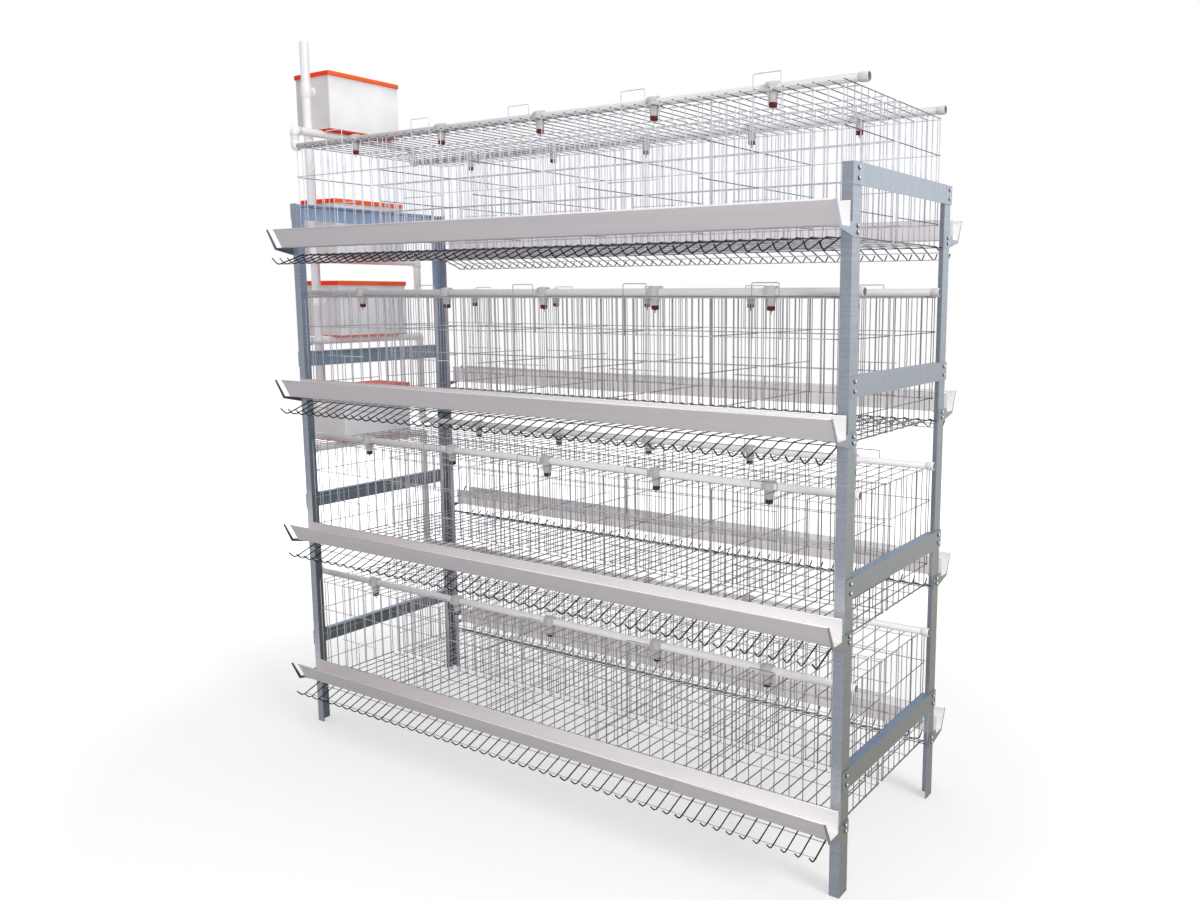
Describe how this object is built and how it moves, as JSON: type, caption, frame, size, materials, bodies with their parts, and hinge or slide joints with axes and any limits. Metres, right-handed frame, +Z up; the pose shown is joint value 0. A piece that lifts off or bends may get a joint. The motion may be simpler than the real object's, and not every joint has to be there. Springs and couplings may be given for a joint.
{
  "type": "layer chicken cage",
  "caption": "Tiered two-sided wire layer cage on angle posts, with feed troughs, sloping egg trays, lifting wire doors, nipple drinking lines and lidded water tanks.",
  "frame": {"origin": "on the floor, under the middle of the whole set with its tanks", "axes": "+X along the rows away from the tanks, -Y the front, +Z up"},
  "size_m": [2.346, 0.9142, 2.487],
  "materials": {
    "galvanised_frame": "hot-dip galvanised, faintly banded",
    "trough_sheet": "smooth galvanised sheet",
    "zinc_wire": "zinc-coated round wire",
    "white_pipe": "smooth white water pipe",
    "nipple_plastic": "moulded beige, dark red drip cap, steel pin",
    "tank_white": "moulded white",
    "lid_red": "moulded red"
  },
  "bodies": {
    "cage": {"corner_posts": "galvanised_frame", "cross_beams": "galvanised_frame", "trough_brackets": "galvanised_frame", "feed_troughs": "trough_sheet", "floor_nets": "zinc_wire", "roof_nets": "zinc_wire", "front_nets": "zinc_wire", "partition_nets": "zinc_wire", "back_nets": "zinc_wire", "water_lines": "white_pipe", "line_end_caps": "white_pipe", "nipple_saddles": "nipple_plastic", "nipple_valves": "nipple_plastic", "tank_outlets": "white_pipe", "supply_riser": "white_pipe", "water_tanks": "tank_white"},
    "door_t1_front_1": {"door_t1_front_1": "zinc_wire"},
    "door_t1_front_2": {"door_t1_front_2": "zinc_wire"},
    "door_t1_front_3": {"door_t1_front_3": "zinc_wire"},
    "door_t1_front_4": {"door_t1_front_4": "zinc_wire"},
    "door_t1_front_5": {"door_t1_front_5": "zinc_wire"},
    "door_t1_rear_1": {"door_t1_rear_1": "zinc_wire"},
    "door_t1_rear_2": {"door_t1_rear_2": "zinc_wire"},
    "door_t1_rear_3": {"door_t1_rear_3": "zinc_wire"},
    "door_t1_rear_4": {"door_t1_rear_4": "zinc_wire"},
    "door_t1_rear_5": {"door_t1_rear_5": "zinc_wire"},
    "door_t2_front_1": {"door_t2_front_1": "zinc_wire"},
    "door_t2_front_2": {"door_t2_front_2": "zinc_wire"},
    "door_t2_front_3": {"door_t2_front_3": "zinc_wire"},
    "door_t2_front_4": {"door_t2_front_4": "zinc_wire"},
    "door_t2_front_5": {"door_t2_front_5": "zinc_wire"},
    "door_t2_rear_1": {"door_t2_rear_1": "zinc_wire"},
    "door_t2_rear_2": {"door_t2_rear_2": "zinc_wire"},
    "door_t2_rear_3": {"door_t2_rear_3": "zinc_wire"},
    "door_t2_rear_4": {"door_t2_rear_4": "zinc_wire"},
    "door_t2_rear_5": {"door_t2_rear_5": "zinc_wire"},
    "door_t3_front_1": {"door_t3_front_1": "zinc_wire"},
    "door_t3_front_2": {"door_t3_front_2": "zinc_wire"},
    "door_t3_front_3": {"door_t3_front_3": "zinc_wire"},
    "door_t3_front_4": {"door_t3_front_4": "zinc_wire"},
    "door_t3_front_5": {"door_t3_front_5": "zinc_wire"},
    "door_t3_rear_1": {"door_t3_rear_1": "zinc_wire"},
    "door_t3_rear_2": {"door_t3_rear_2": "zinc_wire"},
    "door_t3_rear_3": {"door_t3_rear_3": "zinc_wire"},
    "door_t3_rear_4": {"door_t3_rear_4": "zinc_wire"},
    "door_t3_rear_5": {"door_t3_rear_5": "zinc_wire"},
    "door_t4_front_1": {"door_t4_front_1": "zinc_wire"},
    "door_t4_front_2": {"door_t4_front_2": "zinc_wire"},
    "door_t4_front_3": {"door_t4_front_3": "zinc_wire"},
    "door_t4_front_4": {"door_t4_front_4": "zinc_wire"},
    "door_t4_front_5": {"door_t4_front_5": "zinc_wire"},
    "door_t4_rear_1": {"door_t4_rear_1": "zinc_wire"},
    "door_t4_rear_2": {"door_t4_rear_2": "zinc_wire"},
    "door_t4_rear_3": {"door_t4_rear_3": "zinc_wire"},
    "door_t4_rear_4": {"door_t4_rear_4": "zinc_wire"},
    "door_t4_rear_5": {"door_t4_rear_5": "zinc_wire"},
    "tank_lid_1": {"tank_lid_1": "lid_red"},
    "tank_lid_2": {"tank_lid_2": "lid_red"},
    "tank_lid_3": {"tank_lid_3": "lid_red"},
    "tank_lid_4": {"tank_lid_4": "lid_red"}
  },
  "joints": [
    {"name": "door_t1_front_1_lift", "type": "slide", "parent": "cage", "child": "door_t1_front_1", "axis": [0, 0, 1], "range_m": [0, 0.095]},
    {"name": "door_t1_front_2_lift", "type": "slide", "parent": "cage", "child": "door_t1_front_2", "axis": [0, 0, 1], "range_m": [0, 0.095]},
    {"name": "door_t1_front_3_lift", "type": "slide", "parent": "cage", "child": "door_t1_front_3", "axis": [0, 0, 1], "range_m": [0, 0.095]},
    {"name": "door_t1_front_4_lift", "type": "slide", "parent": "cage", "child": "door_t1_front_4", "axis": [0, 0, 1], "range_m": [0, 0.095]},
    {"name": "door_t1_front_5_lift", "type": "slide", "parent": "cage", "child": "door_t1_front_5", "axis": [0, 0, 1], "range_m": [0, 0.095]},
    {"name": "door_t1_rear_1_lift", "type": "slide", "parent": "cage", "child": "door_t1_rear_1", "axis": [0, 0, 1], "range_m": [0, 0.095]},
    {"name": "door_t1_rear_2_lift", "type": "slide", "parent": "cage", "child": "door_t1_rear_2", "axis": [0, 0, 1], "range_m": [0, 0.095]},
    {"name": "door_t1_rear_3_lift", "type": "slide", "parent": "cage", "child": "door_t1_rear_3", "axis": [0, 0, 1], "range_m": [0, 0.095]},
    {"name": "door_t1_rear_4_lift", "type": "slide", "parent": "cage", "child": "door_t1_rear_4", "axis": [0, 0, 1], "range_m": [0, 0.095]},
    {"name": "door_t1_rear_5_lift", "type": "slide", "parent": "cage", "child": "door_t1_rear_5", "axis": [0, 0, 1], "range_m": [0, 0.095]},
    {"name": "door_t2_front_1_lift", "type": "slide", "parent": "cage", "child": "door_t2_front_1", "axis": [0, 0, 1], "range_m": [0, 0.095]},
    {"name": "door_t2_front_2_lift", "type": "slide", "parent": "cage", "child": "door_t2_front_2", "axis": [0, 0, 1], "range_m": [0, 0.095]},
    {"name": "door_t2_front_3_lift", "type": "slide", "parent": "cage", "child": "door_t2_front_3", "axis": [0, 0, 1], "range_m": [0, 0.095]},
    {"name": "door_t2_front_4_lift", "type": "slide", "parent": "cage", "child": "door_t2_front_4", "axis": [0, 0, 1], "range_m": [0, 0.095]},
    {"name": "door_t2_front_5_lift", "type": "slide", "parent": "cage", "child": "door_t2_front_5", "axis": [0, 0, 1], "range_m": [0, 0.095]},
    {"name": "door_t2_rear_1_lift", "type": "slide", "parent": "cage", "child": "door_t2_rear_1", "axis": [0, 0, 1], "range_m": [0, 0.095]},
    {"name": "door_t2_rear_2_lift", "type": "slide", "parent": "cage", "child": "door_t2_rear_2", "axis": [0, 0, 1], "range_m": [0, 0.095]},
    {"name": "door_t2_rear_3_lift", "type": "slide", "parent": "cage", "child": "door_t2_rear_3", "axis": [0, 0, 1], "range_m": [0, 0.095]},
    {"name": "door_t2_rear_4_lift", "type": "slide", "parent": "cage", "child": "door_t2_rear_4", "axis": [0, 0, 1], "range_m": [0, 0.095]},
    {"name": "door_t2_rear_5_lift", "type": "slide", "parent": "cage", "child": "door_t2_rear_5", "axis": [0, 0, 1], "range_m": [0, 0.095]},
    {"name": "door_t3_front_1_lift", "type": "slide", "parent": "cage", "child": "door_t3_front_1", "axis": [0, 0, 1], "range_m": [0, 0.095]},
    {"name": "door_t3_front_2_lift", "type": "slide", "parent": "cage", "child": "door_t3_front_2", "axis": [0, 0, 1], "range_m": [0, 0.095]},
    {"name": "door_t3_front_3_lift", "type": "slide", "parent": "cage", "child": "door_t3_front_3", "axis": [0, 0, 1], "range_m": [0, 0.095]},
    {"name": "door_t3_front_4_lift", "type": "slide", "parent": "cage", "child": "door_t3_front_4", "axis": [0, 0, 1], "range_m": [0, 0.095]},
    {"name": "door_t3_front_5_lift", "type": "slide", "parent": "cage", "child": "door_t3_front_5", "axis": [0, 0, 1], "range_m": [0, 0.095]},
    {"name": "door_t3_rear_1_lift", "type": "slide", "parent": "cage", "child": "door_t3_rear_1", "axis": [0, 0, 1], "range_m": [0, 0.095]},
    {"name": "door_t3_rear_2_lift", "type": "slide", "parent": "cage", "child": "door_t3_rear_2", "axis": [0, 0, 1], "range_m": [0, 0.095]},
    {"name": "door_t3_rear_3_lift", "type": "slide", "parent": "cage", "child": "door_t3_rear_3", "axis": [0, 0, 1], "range_m": [0, 0.095]},
    {"name": "door_t3_rear_4_lift", "type": "slide", "parent": "cage", "child": "door_t3_rear_4", "axis": [0, 0, 1], "range_m": [0, 0.095]},
    {"name": "door_t3_rear_5_lift", "type": "slide", "parent": "cage", "child": "door_t3_rear_5", "axis": [0, 0, 1], "range_m": [0, 0.095]},
    {"name": "door_t4_front_1_lift", "type": "slide", "parent": "cage", "child": "door_t4_front_1", "axis": [0, 0, 1], "range_m": [0, 0.095]},
    {"name": "door_t4_front_2_lift", "type": "slide", "parent": "cage", "child": "door_t4_front_2", "axis": [0, 0, 1], "range_m": [0, 0.095]},
    {"name": "door_t4_front_3_lift", "type": "slide", "parent": "cage", "child": "door_t4_front_3", "axis": [0, 0, 1], "range_m": [0, 0.095]},
    {"name": "door_t4_front_4_lift", "type": "slide", "parent": "cage", "child": "door_t4_front_4", "axis": [0, 0, 1], "range_m": [0, 0.095]},
    {"name": "door_t4_front_5_lift", "type": "slide", "parent": "cage", "child": "door_t4_front_5", "axis": [0, 0, 1], "range_m": [0, 0.095]},
    {"name": "door_t4_rear_1_lift", "type": "slide", "parent": "cage", "child": "door_t4_rear_1", "axis": [0, 0, 1], "range_m": [0, 0.095]},
    {"name": "door_t4_rear_2_lift", "type": "slide", "parent": "cage", "child": "door_t4_rear_2", "axis": [0, 0, 1], "range_m": [0, 0.095]},
    {"name": "door_t4_rear_3_lift", "type": "slide", "parent": "cage", "child": "door_t4_rear_3", "axis": [0, 0, 1], "range_m": [0, 0.095]},
    {"name": "door_t4_rear_4_lift", "type": "slide", "parent": "cage", "child": "door_t4_rear_4", "axis": [0, 0, 1], "range_m": [0, 0.095]},
    {"name": "door_t4_rear_5_lift", "type": "slide", "parent": "cage", "child": "door_t4_rear_5", "axis": [0, 0, 1], "range_m": [0, 0.095]},
    {"name": "tank_lid_1_lift", "type": "slide", "parent": "cage", "child": "tank_lid_1", "axis": [0, 0, 1], "range_m": [0, 0.045]},
    {"name": "tank_lid_2_lift", "type": "slide", "parent": "cage", "child": "tank_lid_2", "axis": [0, 0, 1], "range_m": [0, 0.045]},
    {"name": "tank_lid_3_lift", "type": "slide", "parent": "cage", "child": "tank_lid_3", "axis": [0, 0, 1], "range_m": [0, 0.045]},
    {"name": "tank_lid_4_lift", "type": "slide", "parent": "cage", "child": "tank_lid_4", "axis": [0, 0, 1], "range_m": [0, 0.045]}
  ]
}
